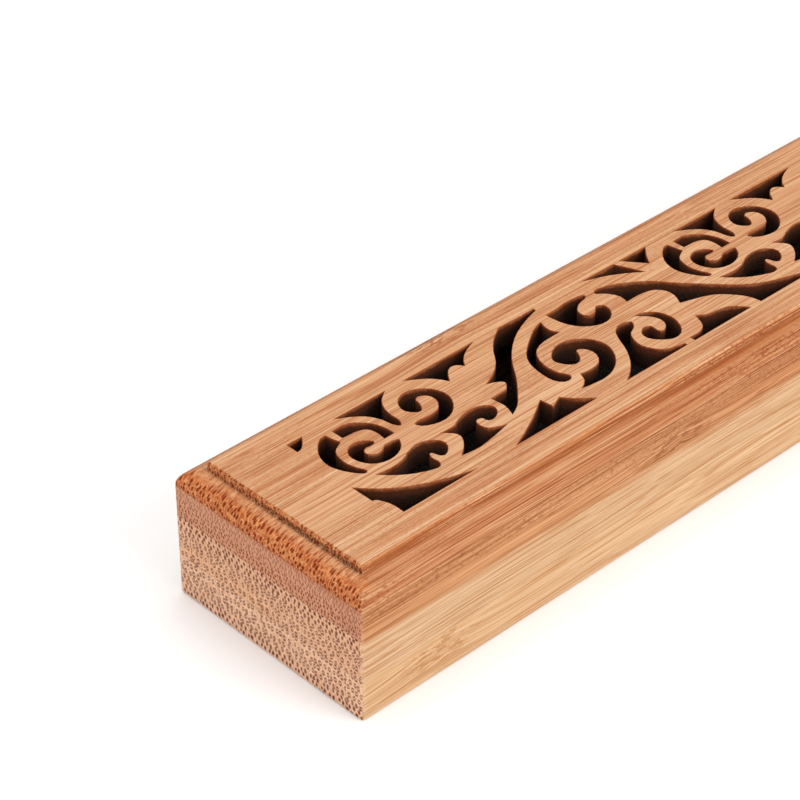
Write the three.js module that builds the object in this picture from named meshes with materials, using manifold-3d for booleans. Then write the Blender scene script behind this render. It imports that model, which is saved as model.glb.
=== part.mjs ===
// Incense stick burner box in laminated bamboo, with a lift-off lid of scroll fretwork.
// Millimetres, +Z up, long side along X, origin at the centre of the underside.

import * as THREE from 'three';
import { mergeVertices } from 'three/addons/utils/BufferGeometryUtils.js';
import Module from 'manifold-3d';

// Outside sizes of the box
const boxLength = 234;
const boxWidth = 45;
const baseLowerPly = 8.2;
const baseUpperPly = 8.2;
const lidLowerPly = 6.1;

// Moulded edge of the lid: a convex round that springs from the glue line, then a small step
const roundInset = 3.85;
const roundRise = 3.2;
const stepHeight = 1.55;
const roundSteps = 7;

// Sanded edges
const uprightEdgeRadius = 0.5;
const shoulderCornerRadius = 0.45;
const footRadius = 0.35;
const seamChamfer = 0.1;
const topArris = 0.35;

// Fretwork panel in the lid's top
const panelEndMargin = 16.4;
const panelSideMargin = 9.5;
const leastShown = 4;
const cutOvershoot = 1;

// Smoke chamber in the lid and stick trough in the base
const chamberMargin = 2.5;
const chamberCornerRadius = 4.5;
const troughLedge = 2.0;
const troughCornerRadius = 4.0;
const troughDepth = 10;

// Disc magnets that hold the lid on its base
const magnetDiameter = 5;
const magnetThickness = 2;
const magnetEdgeChamfer = 0.2;
const magnetFit = 0.1;
const magnetRecess = 0.15;
const magnetSpacing = 22;

// Brass clip for the stick's bare end
const clipSheet = 0.8;
const clipWidth = 9;
const clipFootLength = 13;
const clipHeight = 7;
const clipBendRadius = 1.0;
const clipCornerRadius = 1.5;
const clipSetback = 1.5;
const stickHoleDiameter = 2.6;
const stickHeight = 4.8;
const screwHoleDiameter = 2.4;
const screwSpacing = 6;

// Slotted round-head screws
const screwDiameter = 2.0;
const screwHeadDiameter = 3.8;
const screwHeadHeight = 1.2;
const screwLength = 5.0;
const screwPointLength = 1.2;
const screwSlotWidth = 0.5;
const screwSlotDepth = 0.5;
const pilotFit = 0.1;

// Heat-proof pad on the trough's floor
const padThickness = 2.0;
const padFit = 0.4;
const padToClip = 1.0;

// Levels and lengths that follow from the sizes above
const seamLevel = baseLowerPly + baseUpperPly;
const glueLevel = seamLevel + lidLowerPly;
const ledgeLevel = glueLevel + roundRise;
const topLevel = ledgeLevel + stepHeight;
const troughFloor = seamLevel - troughDepth;
const halfLength = boxLength / 2;
const halfWidth = boxWidth / 2;
const panelHalfLength = halfLength - panelEndMargin;
const panelHalfWidth = halfWidth - panelSideMargin;
const chamberHalfLength = panelHalfLength + chamberMargin;
const chamberHalfWidth = panelHalfWidth + chamberMargin;
const troughHalfLength = chamberHalfLength - troughLedge;
const troughHalfWidth = chamberHalfWidth - troughLedge;

const wasm = await Module();
wasm.setup();

function solidOf(geometry) {
  const bare = geometry.clone();
  bare.deleteAttribute('normal');
  bare.deleteAttribute('uv');
  const merged = mergeVertices(bare);
  const vertProperties = new Float32Array(merged.attributes.position.array);
  const triVerts = new Uint32Array(merged.index.array);
  return new wasm.Manifold(new wasm.Mesh({ numProp: 3, vertProperties, triVerts }));
}

function geometryOf(solid) {
  const mesh = solid.getMesh();
  const geometry = new THREE.BufferGeometry();
  geometry.setAttribute('position', new THREE.BufferAttribute(mesh.vertProperties, 3));
  geometry.setIndex(new THREE.BufferAttribute(mesh.triVerts, 1));
  return geometry;
}

// Points of a rectangle with round corners, counter-clockwise, the same count for every size
function roundedRectangle(halfX, halfY, radius, cornerSteps) {
  const points = [];
  const centres = [[1, 1], [-1, 1], [-1, -1], [1, -1]];
  centres.forEach(([signX, signY], corner) => {
    for (let step = 0; step <= cornerSteps; step += 1) {
      const angle = (corner + step / cornerSteps) * Math.PI / 2;
      const x = signX * (halfX - radius) + radius * Math.cos(angle);
      const y = signY * (halfY - radius) + radius * Math.sin(angle);
      points.push(new THREE.Vector2(x, y));
    }
  });
  return points;
}

// A block with the box's outline, whose sides follow a profile of [inset from the side, level]
function profiledBlock(profile) {
  const cornerSteps = 4;
  const rings = profile.map(([inset, level]) => {
    const radius = Math.max(uprightEdgeRadius - inset, shoulderCornerRadius);
    const outline = roundedRectangle(halfLength - inset, halfWidth - inset, radius, cornerSteps);
    return outline.map((point) => [point.x, point.y, level]);
  });
  const count = rings[0].length;
  const position = rings.flat(2);
  const index = [];
  for (let ring = 0; ring < rings.length - 1; ring += 1) {
    for (let side = 0; side < count; side += 1) {
      const a = ring * count + side;
      const b = ring * count + (side + 1) % count;
      index.push(a, b, b + count, a, b + count, a + count);
    }
  }
  const top = (rings.length - 1) * count;
  for (let corner = 1; corner < count - 1; corner += 1) {
    index.push(0, corner + 1, corner);
    index.push(top, top + corner, top + corner + 1);
  }
  const geometry = new THREE.BufferGeometry();
  geometry.setAttribute('position', new THREE.Float32BufferAttribute(position, 3));
  geometry.setIndex(index);
  return geometry;
}

function uprightExtrusion(shape, bottom, top, curveSegments = 8) {
  const settings = { depth: top - bottom, bevelEnabled: false, curveSegments };
  const geometry = new THREE.ExtrudeGeometry(shape, settings);
  geometry.translate(0, 0, bottom);
  return geometry;
}

function pocket(halfX, halfY, radius, bottom, top) {
  const outline = roundedRectangle(halfX, halfY, radius, 5);
  return solidOf(uprightExtrusion(new THREE.Shape(outline), bottom, top));
}

function uprightCylinder(radius, bottom, top, x, y) {
  const geometry = new THREE.CylinderGeometry(radius, radius, top - bottom, 24);
  geometry.rotateX(Math.PI / 2);
  geometry.translate(x, y, (bottom + top) / 2);
  return geometry;
}

// Scroll fretwork, drawn in millimetres with x from the box's near end and y from its centre line.
// Each opening is one closed outline, smooth between the points marked SHARP.
const SHARP = true;
const drawnPanelStart = 16.4;
const drawnHalfWidth = 13;
const drawnPeriod = 83.7;
const outlineSteps = 2;

// The two cut-off pieces at the start of the panel
const startOpenings = [
  [[16.4, 13, SHARP], [19.6, 13, SHARP], [18.4, 11.5], [17.3, 10.6], [16.4, 10.4, SHARP]],
  [[16.4, -2.8, SHARP], [18.3, -5], [20.9, -7.3], [24.3, -9.4], [28.6, -11.3], [34, -13, SHARP],
    [18.1, -13, SHARP], [18.1, -10.4], [17.2, -8], [16.4, -7.5, SHARP]],
];

// Two curls back to back over two waves
const curlOpenings = [
  [[22.6, 10.6, SHARP], [21.5, 10.5], [19.7, 9.1], [18.2, 7], [17.6, 4.6], [17.9, 2.6], [19, 0.3],
    [20.4, -1.4], [21.2, -1], [20.4, 0.8], [20, 3], [20.4, 5.3], [21.4, 6.6], [23.2, 7.5, SHARP],
    [22.8, 9.3]],
  [[24.3, 10.7, SHARP], [27, 10.7], [29, 9.5], [30.5, 7.6], [31.2, 5.4], [31.3, 3.3, SHARP],
    [29.2, 3.3, SHARP], [29.4, 5.2], [28.9, 7], [27.2, 7.9], [24.3, 8.1, SHARP]],
  [[28, 2, SHARP], [26.9, 1.3], [25.4, 1.1], [24.1, 2.2], [24.8, 3.5], [26.4, 3.4], [27.3, 3.8],
    [26.4, 5.1], [24.8, 5.8], [22.9, 5.3], [21.8, 3.7], [21.9, 1.6], [23.1, -0.4], [25.2, -1.4],
    [27.5, -1.3], [29.5, -0.3], [30.7, 1.4], [29.9, 1.9]],
  [[26.8, 13, SHARP], [38.3, 13, SHARP], [36.3, 11.6], [35, 9.8], [34.4, 7.5], [34.4, 5.4],
    [33.6, 4.1], [32.8, 5.4], [32.4, 7.6], [31.2, 9.8], [29.4, 11.4]],
  [[35.5, 2.7, SHARP], [36.6, 3], [39, 2.8], [41.2, 3.1], [42.8, 4.8], [42.8, 6.8], [41.4, 8],
    [40.3, 7.6], [40.1, 6.5], [39.3, 5], [38.2, 4.8], [36.9, 6.4], [37.2, 8.3], [38.6, 9.9],
    [40.7, 10.3], [42.9, 9.5], [44.6, 7.6], [45.2, 5.2], [44.5, 3], [42.7, 1.1], [40.4, 0.2],
    [38, 0.5], [36.1, 1.5]],
  [[42.6, 13, SHARP], [59, 13, SHARP], [56.3, 11.9], [54.4, 10.5], [53.2, 8.9, SHARP],
    [52.5, 9.9], [51.3, 10.4], [49.8, 9.6], [48.2, 7.5, SHARP], [47.3, 9.1], [45.7, 10.9]],
  [[21.5, -2.9, SHARP], [24.6, -3.3], [27.6, -2.9], [29.8, -1.9], [32.2, -1.5], [34.4, -2.3],
    [35.6, -4.2], [34.8, -5.9], [33.3, -6.8], [32.5, -6.2], [32.2, -5.1], [31.6, -4.8],
    [31.1, -5.9], [31.2, -7.6], [30.3, -8.5], [28.2, -7.9], [25.6, -6.6], [23.3, -4.8]],
  [[37, -2, SHARP], [39.6, -2.2], [42, -1.2], [44.6, -0.7], [47.1, -1.2], [48.4, -2.8],
    [47.8, -4.3], [46.2, -5.2], [45, -4.9], [44.8, -3.8], [43.6, -3.5], [43, -4.8], [43.6, -6.5],
    [46.4, -7.9, SHARP], [42.4, -8.7], [38.6, -9.2], [35.1, -8.8, SHARP], [37.2, -7.2],
    [38.6, -5.4], [38.6, -3.9]],
];

// The long leaf that crosses the panel, with a large curl, two hooks and the band back again
const leafOpenings = [
  [[43.6, -13, SHARP], [47, -11.5], [51, -9.5], [55.3, -6.9, SHARP], [55.6, -9.7, SHARP],
    [58.2, -8.5, SHARP], [59.9, -10.6], [62.6, -13, SHARP]],
  [[49.7, -0.9, SHARP], [53.4, -0.9, SHARP], [54.8, 0.6], [54, 1.7], [52.1, 2.6, SHARP],
    [55.2, 4], [57.8, 6], [60, 8.8], [62.4, 11.1], [65.4, 13, SHARP], [74, 13, SHARP],
    [73.9, 12.3, SHARP], [70.2, 11.3], [66, 9.4], [62.4, 6.8], [59.6, 3.9], [57, 0.4],
    [54.2, -2.7], [51.6, -5.2], [49.2, -6.5, SHARP], [50, -4]],
  [[71.9, 9.2, SHARP], [69.3, 8.3], [65.8, 6.1], [63.1, 3.9], [61.6, 1.4], [61, -1.6],
    [61, -4.3], [62, -6], [63.5, -6.2], [64.1, -5.2], [63.2, -3.4], [63, -0.8], [63.8, 1.9],
    [65.4, 3.8], [68, 4.7], [72.2, 4.8, SHARP], [71.4, 6], [71.4, 7.6]],
  [[62.9, -9.4, SHARP], [64.9, -8.1], [65.7, -6.3, SHARP], [68.4, -6.6], [70.8, -5.9],
    [72, -3.9], [71.7, -1.9], [70.3, -0.9], [69.6, -2.2], [68.4, -3.6], [66.7, -3.5],
    [65.2, -1.2], [65.7, 0.4], [67.4, 1.8], [69.8, 2.4], [72.3, 1.6], [74.3, -0.3], [75.2, -2.8],
    [74.8, -5], [73.3, -7.4], [70.8, -9.2], [67.6, -10]],
  [[74.2, 10, SHARP], [76.6, 10.1], [79.6, 10.5], [83.2, 10.1], [83.2, 9.1], [81, 8.6],
    [79.3, 7.4], [78.8, 5.8], [79.8, 4.7], [81.3, 4.9], [82.6, 6], [83.7, 5.2], [83.5, 3.5],
    [82.2, 2], [80, 1.4], [77.6, 2.2], [75.6, 4.1], [74.5, 6.8]],
  [[70.2, -13, SHARP], [72.6, -11.5], [74.9, -9.3], [76.8, -6.5], [78, -3.9], [79.5, -1.6],
    [81.6, -0.8], [83.4, -1.5], [82.6, -3], [80.7, -4], [79.5, -6.2], [79.5, -8.5],
    [80.8, -10.7], [82.8, -11.9], [85.2, -12.4, SHARP], [85.2, -13, SHARP]],
  [[85, -0.7, SHARP], [87.2, -1.2], [88.9, -2.8], [89.6, -5.2], [89.1, -7.6], [87.6, -9.6],
    [85.3, -10.2], [83.2, -8.9], [81.9, -7], [82.2, -5.3], [83.6, -4.3], [84.9, -4.9],
    [84.8, -6.8], [86, -7.2], [87.4, -6.1], [87.7, -4.4], [86.9, -2.6]],
  [[87.3, -13, SHARP], [87.3, -11.9, SHARP], [89.8, -11.9], [91.8, -10.8], [93, -8, SHARP],
    [94.8, -9.2], [97.6, -9.7], [99.8, -10.6], [101.9, -13, SHARP]],
  [[86.6, 13, SHARP], [94.5, 13, SHARP], [95.8, 10], [96.8, 7.5, SHARP], [94.4, 9.3],
    [90.8, 11.4]],
  [[96.2, 13, SHARP], [102.9, 13, SHARP], [100.9, 10.8], [99.5, 8.8, SHARP], [97.7, 11.1]],
  [[87.6, 3.2, SHARP], [87.9, 5.2], [86.8, 7.4], [85.3, 8.8], [86.4, 9.6], [89.2, 8.8],
    [92.4, 7], [95.4, 4.7], [97.8, 1.7], [100.4, -1.2], [103.2, -4.2], [106.4, -7.4],
    [110.2, -9.7], [114.8, -11.4], [119.8, -13, SHARP], [104.7, -13, SHARP], [104.2, -10.6],
    [102.4, -7.9], [99.6, -5.5], [94, -3.5, SHARP], [95, -1.6], [95.1, 0.6], [93.6, 2.5],
    [91, 3.2]],
];

// An opening's shape, moved along the panel; every outline starts at a sharp point
function openingShape(outline, drawingScale, shiftX) {
  const place = ([x, y]) => {
    const alongPanel = (x - drawnPanelStart) * drawingScale + shiftX;
    return new THREE.Vector2(alongPanel, y * drawingScale);
  };
  const start = place(outline[0]);
  const shape = new THREE.Shape();
  shape.moveTo(start.x, start.y);
  let run = [];
  [...outline.slice(1), outline[0]].forEach((point) => {
    run.push(place(point));
    if (point[2] === SHARP) {
      if (run.length === 1) {
        shape.lineTo(run[0].x, run[0].y);
      } else {
        shape.splineThru(run);
      }
      run = [];
    }
  });
  return shape;
}

// All openings of the panel as one cutter: the pattern repeats until the panel's far end cuts it off
function fretCutter() {
  const drawingScale = panelHalfWidth / drawnHalfWidth;
  const bottom = glueLevel - cutOvershoot;
  const top = topLevel + cutOvershoot;
  const cuts = [];
  const addOpenings = (outlines, shiftX) => {
    outlines.forEach((outline) => {
      const nearestX = Math.min(...outline.map(([x]) => x));
      const startX = (nearestX - drawnPanelStart) * drawingScale + shiftX;
      if (startX < panelHalfLength - leastShown) {
        const shape = openingShape(outline, drawingScale, shiftX);
        cuts.push(solidOf(uprightExtrusion(shape, bottom, top, outlineSteps)));
      }
    });
  };
  addOpenings(startOpenings, -panelHalfLength);
  const period = drawnPeriod * drawingScale;
  for (let shiftX = -panelHalfLength; shiftX < panelHalfLength; shiftX += period) {
    addOpenings(curlOpenings, shiftX);
    addOpenings(leafOpenings, shiftX);
  }
  const windowHeight = top - bottom + 2 * cutOvershoot;
  const panelWindow = new THREE.BoxGeometry(2 * panelHalfLength, 2 * panelHalfWidth, windowHeight);
  panelWindow.translate(0, 0, (bottom + top) / 2);
  return wasm.Manifold.union(cuts).intersect(solidOf(panelWindow));
}

// Magnet places, the same in the lid and in the base
const magnetX = halfLength - (halfLength - chamberHalfLength) / 2;
const magnetPlaces = [
  [-magnetX, -magnetSpacing / 2],
  [-magnetX, magnetSpacing / 2],
  [magnetX, -magnetSpacing / 2],
  [magnetX, magnetSpacing / 2],
];
const magnetPocketRadius = magnetDiameter / 2 + magnetFit;
const magnetPocketDepth = magnetThickness + magnetRecess;

function magnetPockets(bottom, top) {
  const pockets = magnetPlaces.map(([x, y]) => {
    const cylinder = uprightCylinder(magnetPocketRadius, bottom, top, x, y);
    return solidOf(cylinder);
  });
  return wasm.Manifold.union(pockets);
}

function magnetGeometry() {
  const radius = magnetDiameter / 2;
  const profile = [
    new THREE.Vector2(0, 0),
    new THREE.Vector2(radius - magnetEdgeChamfer, 0),
    new THREE.Vector2(radius, magnetEdgeChamfer),
    new THREE.Vector2(radius, magnetThickness - magnetEdgeChamfer),
    new THREE.Vector2(radius - magnetEdgeChamfer, magnetThickness),
    new THREE.Vector2(0, magnetThickness),
  ];
  const geometry = new THREE.LatheGeometry(profile, 24);
  geometry.rotateX(Math.PI / 2);
  return geometry;
}

// Clip at the trough's near end, its foot on the floor and its upright towards the stick
const clipStartX = -troughHalfLength + clipSetback;
const clipEndX = clipStartX + clipFootLength;
const screwMiddleX = clipStartX + (clipFootLength - clipSheet - clipBendRadius) / 2;
const screwPlaces = [
  [screwMiddleX - screwSpacing / 2, 0],
  [screwMiddleX + screwSpacing / 2, 0],
];

function clipGeometry() {
  const outerBend = clipBendRadius + clipSheet;
  const bendX = clipEndX - outerBend;
  const side = new THREE.Shape();
  side.moveTo(clipStartX, 0);
  side.lineTo(bendX, 0);
  side.absarc(bendX, outerBend, outerBend, -Math.PI / 2, 0, false);
  side.lineTo(clipEndX, clipHeight);
  side.lineTo(clipEndX - clipSheet, clipHeight);
  side.lineTo(clipEndX - clipSheet, outerBend);
  side.absarc(bendX, outerBend, clipBendRadius, 0, -Math.PI / 2, true);
  side.lineTo(clipStartX, clipSheet);
  side.closePath();
  const curveSegments = 5;
  const strip = new THREE.ExtrudeGeometry(side, { depth: clipWidth, bevelEnabled: false, curveSegments });
  strip.rotateX(Math.PI / 2);
  strip.translate(0, clipWidth / 2, troughFloor);

  // Front view of the strip, with its two upper corners rounded
  const front = new THREE.Shape();
  const half = clipWidth / 2;
  const cornerY = half - clipCornerRadius;
  const cornerLevel = clipHeight - clipCornerRadius;
  front.moveTo(-half, -cutOvershoot);
  front.lineTo(half, -cutOvershoot);
  front.lineTo(half, cornerLevel);
  front.absarc(cornerY, cornerLevel, clipCornerRadius, 0, Math.PI / 2, false);
  front.absarc(-cornerY, cornerLevel, clipCornerRadius, Math.PI / 2, Math.PI, false);
  front.closePath();
  const depth = clipFootLength + 2 * cutOvershoot;
  const frontBlock = new THREE.ExtrudeGeometry(front, { depth, bevelEnabled: false, curveSegments });
  frontBlock.rotateX(Math.PI / 2);
  frontBlock.rotateZ(Math.PI / 2);
  frontBlock.translate(clipStartX - cutOvershoot, 0, troughFloor);

  const stickHole = new THREE.CylinderGeometry(stickHoleDiameter / 2, stickHoleDiameter / 2,
    4 * clipSheet, 20);
  stickHole.rotateZ(Math.PI / 2);
  stickHole.translate(clipEndX - clipSheet / 2, 0, troughFloor + stickHeight);

  let clip = solidOf(strip).intersect(solidOf(frontBlock)).subtract(solidOf(stickHole));
  screwPlaces.forEach(([x, y]) => {
    const bottom = troughFloor - cutOvershoot;
    const top = troughFloor + clipSheet + cutOvershoot;
    clip = clip.subtract(solidOf(uprightCylinder(screwHoleDiameter / 2, bottom, top, x, y)));
  });
  return geometryOf(clip);
}

// Screw with its head's underside at the origin
function screwGeometry() {
  const headRadius = screwHeadDiameter / 2;
  const shankRadius = screwDiameter / 2;
  const domeSteps = 5;
  const profile = [
    new THREE.Vector2(0, -screwLength),
    new THREE.Vector2(shankRadius, screwPointLength - screwLength),
    new THREE.Vector2(shankRadius, 0),
    new THREE.Vector2(headRadius, 0),
  ];
  for (let step = 1; step < domeSteps; step += 1) {
    const angle = (step / domeSteps) * Math.PI / 2;
    profile.push(new THREE.Vector2(headRadius * Math.cos(angle), screwHeadHeight * Math.sin(angle)));
  }
  profile.push(new THREE.Vector2(0, screwHeadHeight));
  const body = new THREE.LatheGeometry(profile, 20);
  body.rotateX(Math.PI / 2);
  const slot = new THREE.BoxGeometry(screwSlotWidth, 2 * screwHeadDiameter, 2 * screwSlotDepth);
  slot.translate(0, 0, screwHeadHeight);
  return geometryOf(solidOf(body).subtract(solidOf(slot)));
}

// Trough and screw pilot holes, cut through whichever base plies they reach
function baseCutter() {
  const top = seamLevel + cutOvershoot;
  let cutter = pocket(troughHalfLength, troughHalfWidth, troughCornerRadius, troughFloor, top);
  screwPlaces.forEach(([x, y]) => {
    const bottom = troughFloor + clipSheet - screwLength - pilotFit;
    const radius = screwDiameter / 2 + pilotFit;
    cutter = cutter.add(solidOf(uprightCylinder(radius, bottom, troughFloor + cutOvershoot, x, y)));
  });
  return cutter;
}

function baseLowerPlyGeometry() {
  const profile = [[footRadius, 0]];
  const footSteps = 3;
  for (let step = 1; step <= footSteps; step += 1) {
    const angle = (step / footSteps) * Math.PI / 2;
    profile.push([footRadius * (1 - Math.sin(angle)), footRadius * (1 - Math.cos(angle))]);
  }
  profile.push([0, baseLowerPly]);
  return geometryOf(solidOf(profiledBlock(profile)).subtract(baseCutter()));
}

function baseUpperPlyGeometry() {
  const profile = [[0, baseLowerPly], [0, seamLevel - seamChamfer], [seamChamfer, seamLevel]];
  const pockets = magnetPockets(seamLevel - magnetPocketDepth, seamLevel + cutOvershoot);
  return geometryOf(solidOf(profiledBlock(profile)).subtract(baseCutter()).subtract(pockets));
}

function lidLowerPlyGeometry() {
  const profile = [[seamChamfer, seamLevel], [0, seamLevel + seamChamfer], [0, glueLevel]];
  const chamber = pocket(chamberHalfLength, chamberHalfWidth, chamberCornerRadius,
    seamLevel - cutOvershoot, glueLevel + cutOvershoot);
  const pockets = magnetPockets(seamLevel - cutOvershoot, seamLevel + magnetPocketDepth);
  return geometryOf(solidOf(profiledBlock(profile)).subtract(chamber).subtract(pockets));
}

function lidFretPlyGeometry() {
  const profile = [];
  for (let step = 0; step <= roundSteps; step += 1) {
    const angle = (step / roundSteps) * Math.PI / 2;
    profile.push([roundInset * (1 - Math.cos(angle)), glueLevel + roundRise * Math.sin(angle)]);
  }
  profile.push([roundInset, topLevel - topArris]);
  profile.push([roundInset + topArris, topLevel]);
  return geometryOf(solidOf(profiledBlock(profile)).subtract(fretCutter()));
}

function padGeometry() {
  const startX = clipEndX + padToClip;
  const endX = troughHalfLength - padFit;
  const padHalfWidth = troughHalfWidth - padFit;
  const outline = roundedRectangle((endX - startX) / 2, padHalfWidth, troughCornerRadius - padFit, 5);
  const shape = new THREE.Shape(outline);
  const geometry = uprightExtrusion(shape, troughFloor, troughFloor + padThickness);
  geometry.translate((startX + endX) / 2, 0, 0);
  return geometry;
}

function piece(name, geometry, color, roughness, metalness) {
  const material = new THREE.MeshStandardMaterial({ color, roughness, metalness });
  const mesh = new THREE.Mesh(geometry, material);
  mesh.name = name;
  return mesh;
}

const base = new THREE.Group();
base.add(piece('base_lower_ply', baseLowerPlyGeometry(), '#dcb385', 0.6, 0));
base.add(piece('base_upper_ply', baseUpperPlyGeometry(), '#e0b988', 0.6, 0));
base.add(piece('heat_pad', padGeometry(), '#4a4642', 0.95, 0));
base.add(piece('stick_clip', clipGeometry(), '#c9a04a', 0.35, 1));
screwPlaces.forEach(([x, y], number) => {
  const screw = piece(`clip_screw_${number + 1}`, screwGeometry(), '#bf9540', 0.35, 1);
  screw.position.set(x, y, troughFloor + clipSheet);
  base.add(screw);
});

const lid = new THREE.Group();
lid.add(piece('lid_lower_ply', lidLowerPlyGeometry(), '#c08a5c', 0.55, 0));
lid.add(piece('lid_fret_ply', lidFretPlyGeometry(), '#d69a62', 0.5, 0));

magnetPlaces.forEach(([x, y], number) => {
  const lower = piece(`base_magnet_${number + 1}`, magnetGeometry(), '#c9ccd0', 0.25, 1);
  lower.position.set(x, y, seamLevel - magnetPocketDepth);
  base.add(lower);
  const upper = piece(`lid_magnet_${number + 1}`, magnetGeometry(), '#c9ccd0', 0.25, 1);
  upper.position.set(x, y, seamLevel + magnetRecess);
  lid.add(upper);
});

const burner = new THREE.Group();
burner.add(base);
burner.add(lid);

export default burner;
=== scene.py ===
"""An incense stick burner box of laminated bamboo, with a lift-off lid.

The lid has a pierced scroll panel, and the base holds a felt pad and a brass
clip for the stick. Shapes are in metres. The finishes work in millimetres.
"""
import math

import bmesh
import bpy
from mathutils import Matrix, Vector, noise


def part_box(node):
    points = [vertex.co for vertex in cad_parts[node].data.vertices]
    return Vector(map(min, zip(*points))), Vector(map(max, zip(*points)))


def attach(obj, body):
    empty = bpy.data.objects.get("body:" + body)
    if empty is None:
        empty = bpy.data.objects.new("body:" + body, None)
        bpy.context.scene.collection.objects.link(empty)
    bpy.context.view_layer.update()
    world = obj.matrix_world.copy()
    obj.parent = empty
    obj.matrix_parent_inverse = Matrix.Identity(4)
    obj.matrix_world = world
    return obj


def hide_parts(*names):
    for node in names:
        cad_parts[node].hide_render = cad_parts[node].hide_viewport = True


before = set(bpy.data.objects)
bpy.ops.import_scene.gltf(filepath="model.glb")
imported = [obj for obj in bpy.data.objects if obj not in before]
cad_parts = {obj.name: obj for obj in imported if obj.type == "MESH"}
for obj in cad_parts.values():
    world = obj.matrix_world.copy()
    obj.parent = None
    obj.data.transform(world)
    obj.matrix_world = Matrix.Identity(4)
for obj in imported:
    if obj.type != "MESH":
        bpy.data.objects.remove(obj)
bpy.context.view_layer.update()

MM = 0.001

# Levels and reaches of the box in millimetres, read from its pieces

upper_low, upper_high = (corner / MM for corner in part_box("base_upper_ply"))
fret_low, fret_high = (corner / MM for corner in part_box("lid_fret_ply"))
pad_low, pad_high = (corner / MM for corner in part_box("heat_pad"))
pad_size = pad_high - pad_low
half_length = upper_high.x
half_width = upper_high.y
base_glue = upper_low.z
seam = upper_high.z
lid_glue = fret_low.z
top = fret_high.z

# The step round the lid's top, with the quarter round outside it

step_height = 1.55
ledge = top - step_height
round_inset = 3.85
step_half_length = half_length - round_inset
step_half_width = half_width - round_inset

# Half sizes of the hollows, and the margins that take in their walls

trough_half = (101.1, 13.5)
chamber_half = (103.1, 15.5)
panel_half = (100.6, 13.0)
past_hollow = 0.2
past_panel = 0.15


def stand_in_scene(name, form):
    """Makes a piece of a finished form, and stands it in the scene."""
    mesh = bpy.data.meshes.new(name)
    form.to_mesh(mesh)
    form.free()
    piece = bpy.data.objects.new(name, mesh)
    bpy.context.scene.collection.objects.link(piece)
    return piece


# Camera, light and floor


def stand_camera():
    """The photograph's long lens, worked out from the edges of the box in it.

    The offset is where the box's near lower corner lies from the camera:
    to the right, down and forward.
    """
    azimuth = math.radians(-43.2637)
    elevation = math.radians(35.8573)
    roll = math.radians(0.3009)
    offset = Vector((-5.8930, 51.0737, 441.5890)) * MM
    near_corner = Vector((-half_length, -half_width, 0)) * MM
    forward = Vector((
        -math.sin(azimuth) * math.cos(elevation),
        math.cos(azimuth) * math.cos(elevation),
        -math.sin(elevation),
    ))
    level_right = forward.cross(Vector((0, 0, 1))).normalized()
    level_down = forward.cross(level_right)
    right = math.cos(roll) * level_right + math.sin(roll) * level_down
    down = math.cos(roll) * level_down - math.sin(roll) * level_right
    place = near_corner - (right * offset.x + down * offset.y + forward * offset.z)
    turn = Matrix((right, -down, -forward)).transposed()
    lens = bpy.data.cameras.new("camera")
    lens.lens = 125.291
    lens.sensor_width = 36.0
    lens.clip_start = 0.01
    lens.clip_end = 50.0
    camera = bpy.data.objects.new("camera", lens)
    camera.matrix_world = Matrix.Translation(place) @ turn.to_4x4()
    bpy.context.scene.collection.objects.link(camera)
    bpy.context.scene.camera = camera


def hang_softbox(name, place, size, power, colour):
    """A large soft lamp that faces the middle of the box."""
    lamp = bpy.data.lights.new(name, "AREA")
    lamp.shape = "RECTANGLE"
    lamp.size = size[0]
    lamp.size_y = size[1]
    lamp.energy = power
    lamp.color = colour
    stand = bpy.data.objects.new(name, lamp)
    stand.location = place
    aim = Vector((0, 0, 0.01)) - Vector(place)
    stand.rotation_euler = aim.to_track_quat("-Z", "Y").to_euler()
    bpy.context.scene.collection.objects.link(stand)


def light_studio():
    """A white room, a soft key on the long side, one overhead and a fill on the end."""
    room = bpy.data.worlds.new("white_room")
    room.use_nodes = True
    back = room.node_tree.nodes["Background"]
    back.inputs["Color"].default_value = (1.0, 1.0, 1.0, 1.0)
    back.inputs["Strength"].default_value = 0.9
    bpy.context.scene.world = room
    hang_softbox("key_light", (0.35, -1.35, 0.85), (1.3, 0.9), 15.0, (1.0, 0.985, 0.96))
    hang_softbox("top_light", (0.1, 0.2, 1.6), (1.2, 1.2), 5.5, (1.0, 1.0, 1.0))
    hang_softbox("fill_light", (-1.3, -0.25, 0.55), (1.1, 0.8), 3.4, (1.0, 0.99, 0.97))
    bpy.context.scene.view_settings.view_transform = "Standard"
    bpy.context.scene.view_settings.look = "None"


def lay_floor():
    """A plain pale floor, a hair under the box."""
    reach = 6.0
    hair = 0.0001
    form = bmesh.new()
    bmesh.ops.create_grid(form, x_segments=1, y_segments=1, size=reach)
    bmesh.ops.translate(form, verts=form.verts, vec=(0, 0, -hair))
    floor = stand_in_scene("floor", form)
    paint = bpy.data.materials.new("floor_paint")
    paint.use_nodes = True
    shader = paint.node_tree.nodes["Principled BSDF"]
    shader.inputs["Base Color"].default_value = (0.92, 0.92, 0.92, 1.0)
    shader.inputs["Roughness"].default_value = 0.9
    floor.data.materials.append(paint)


# Mixing of finishes


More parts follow.
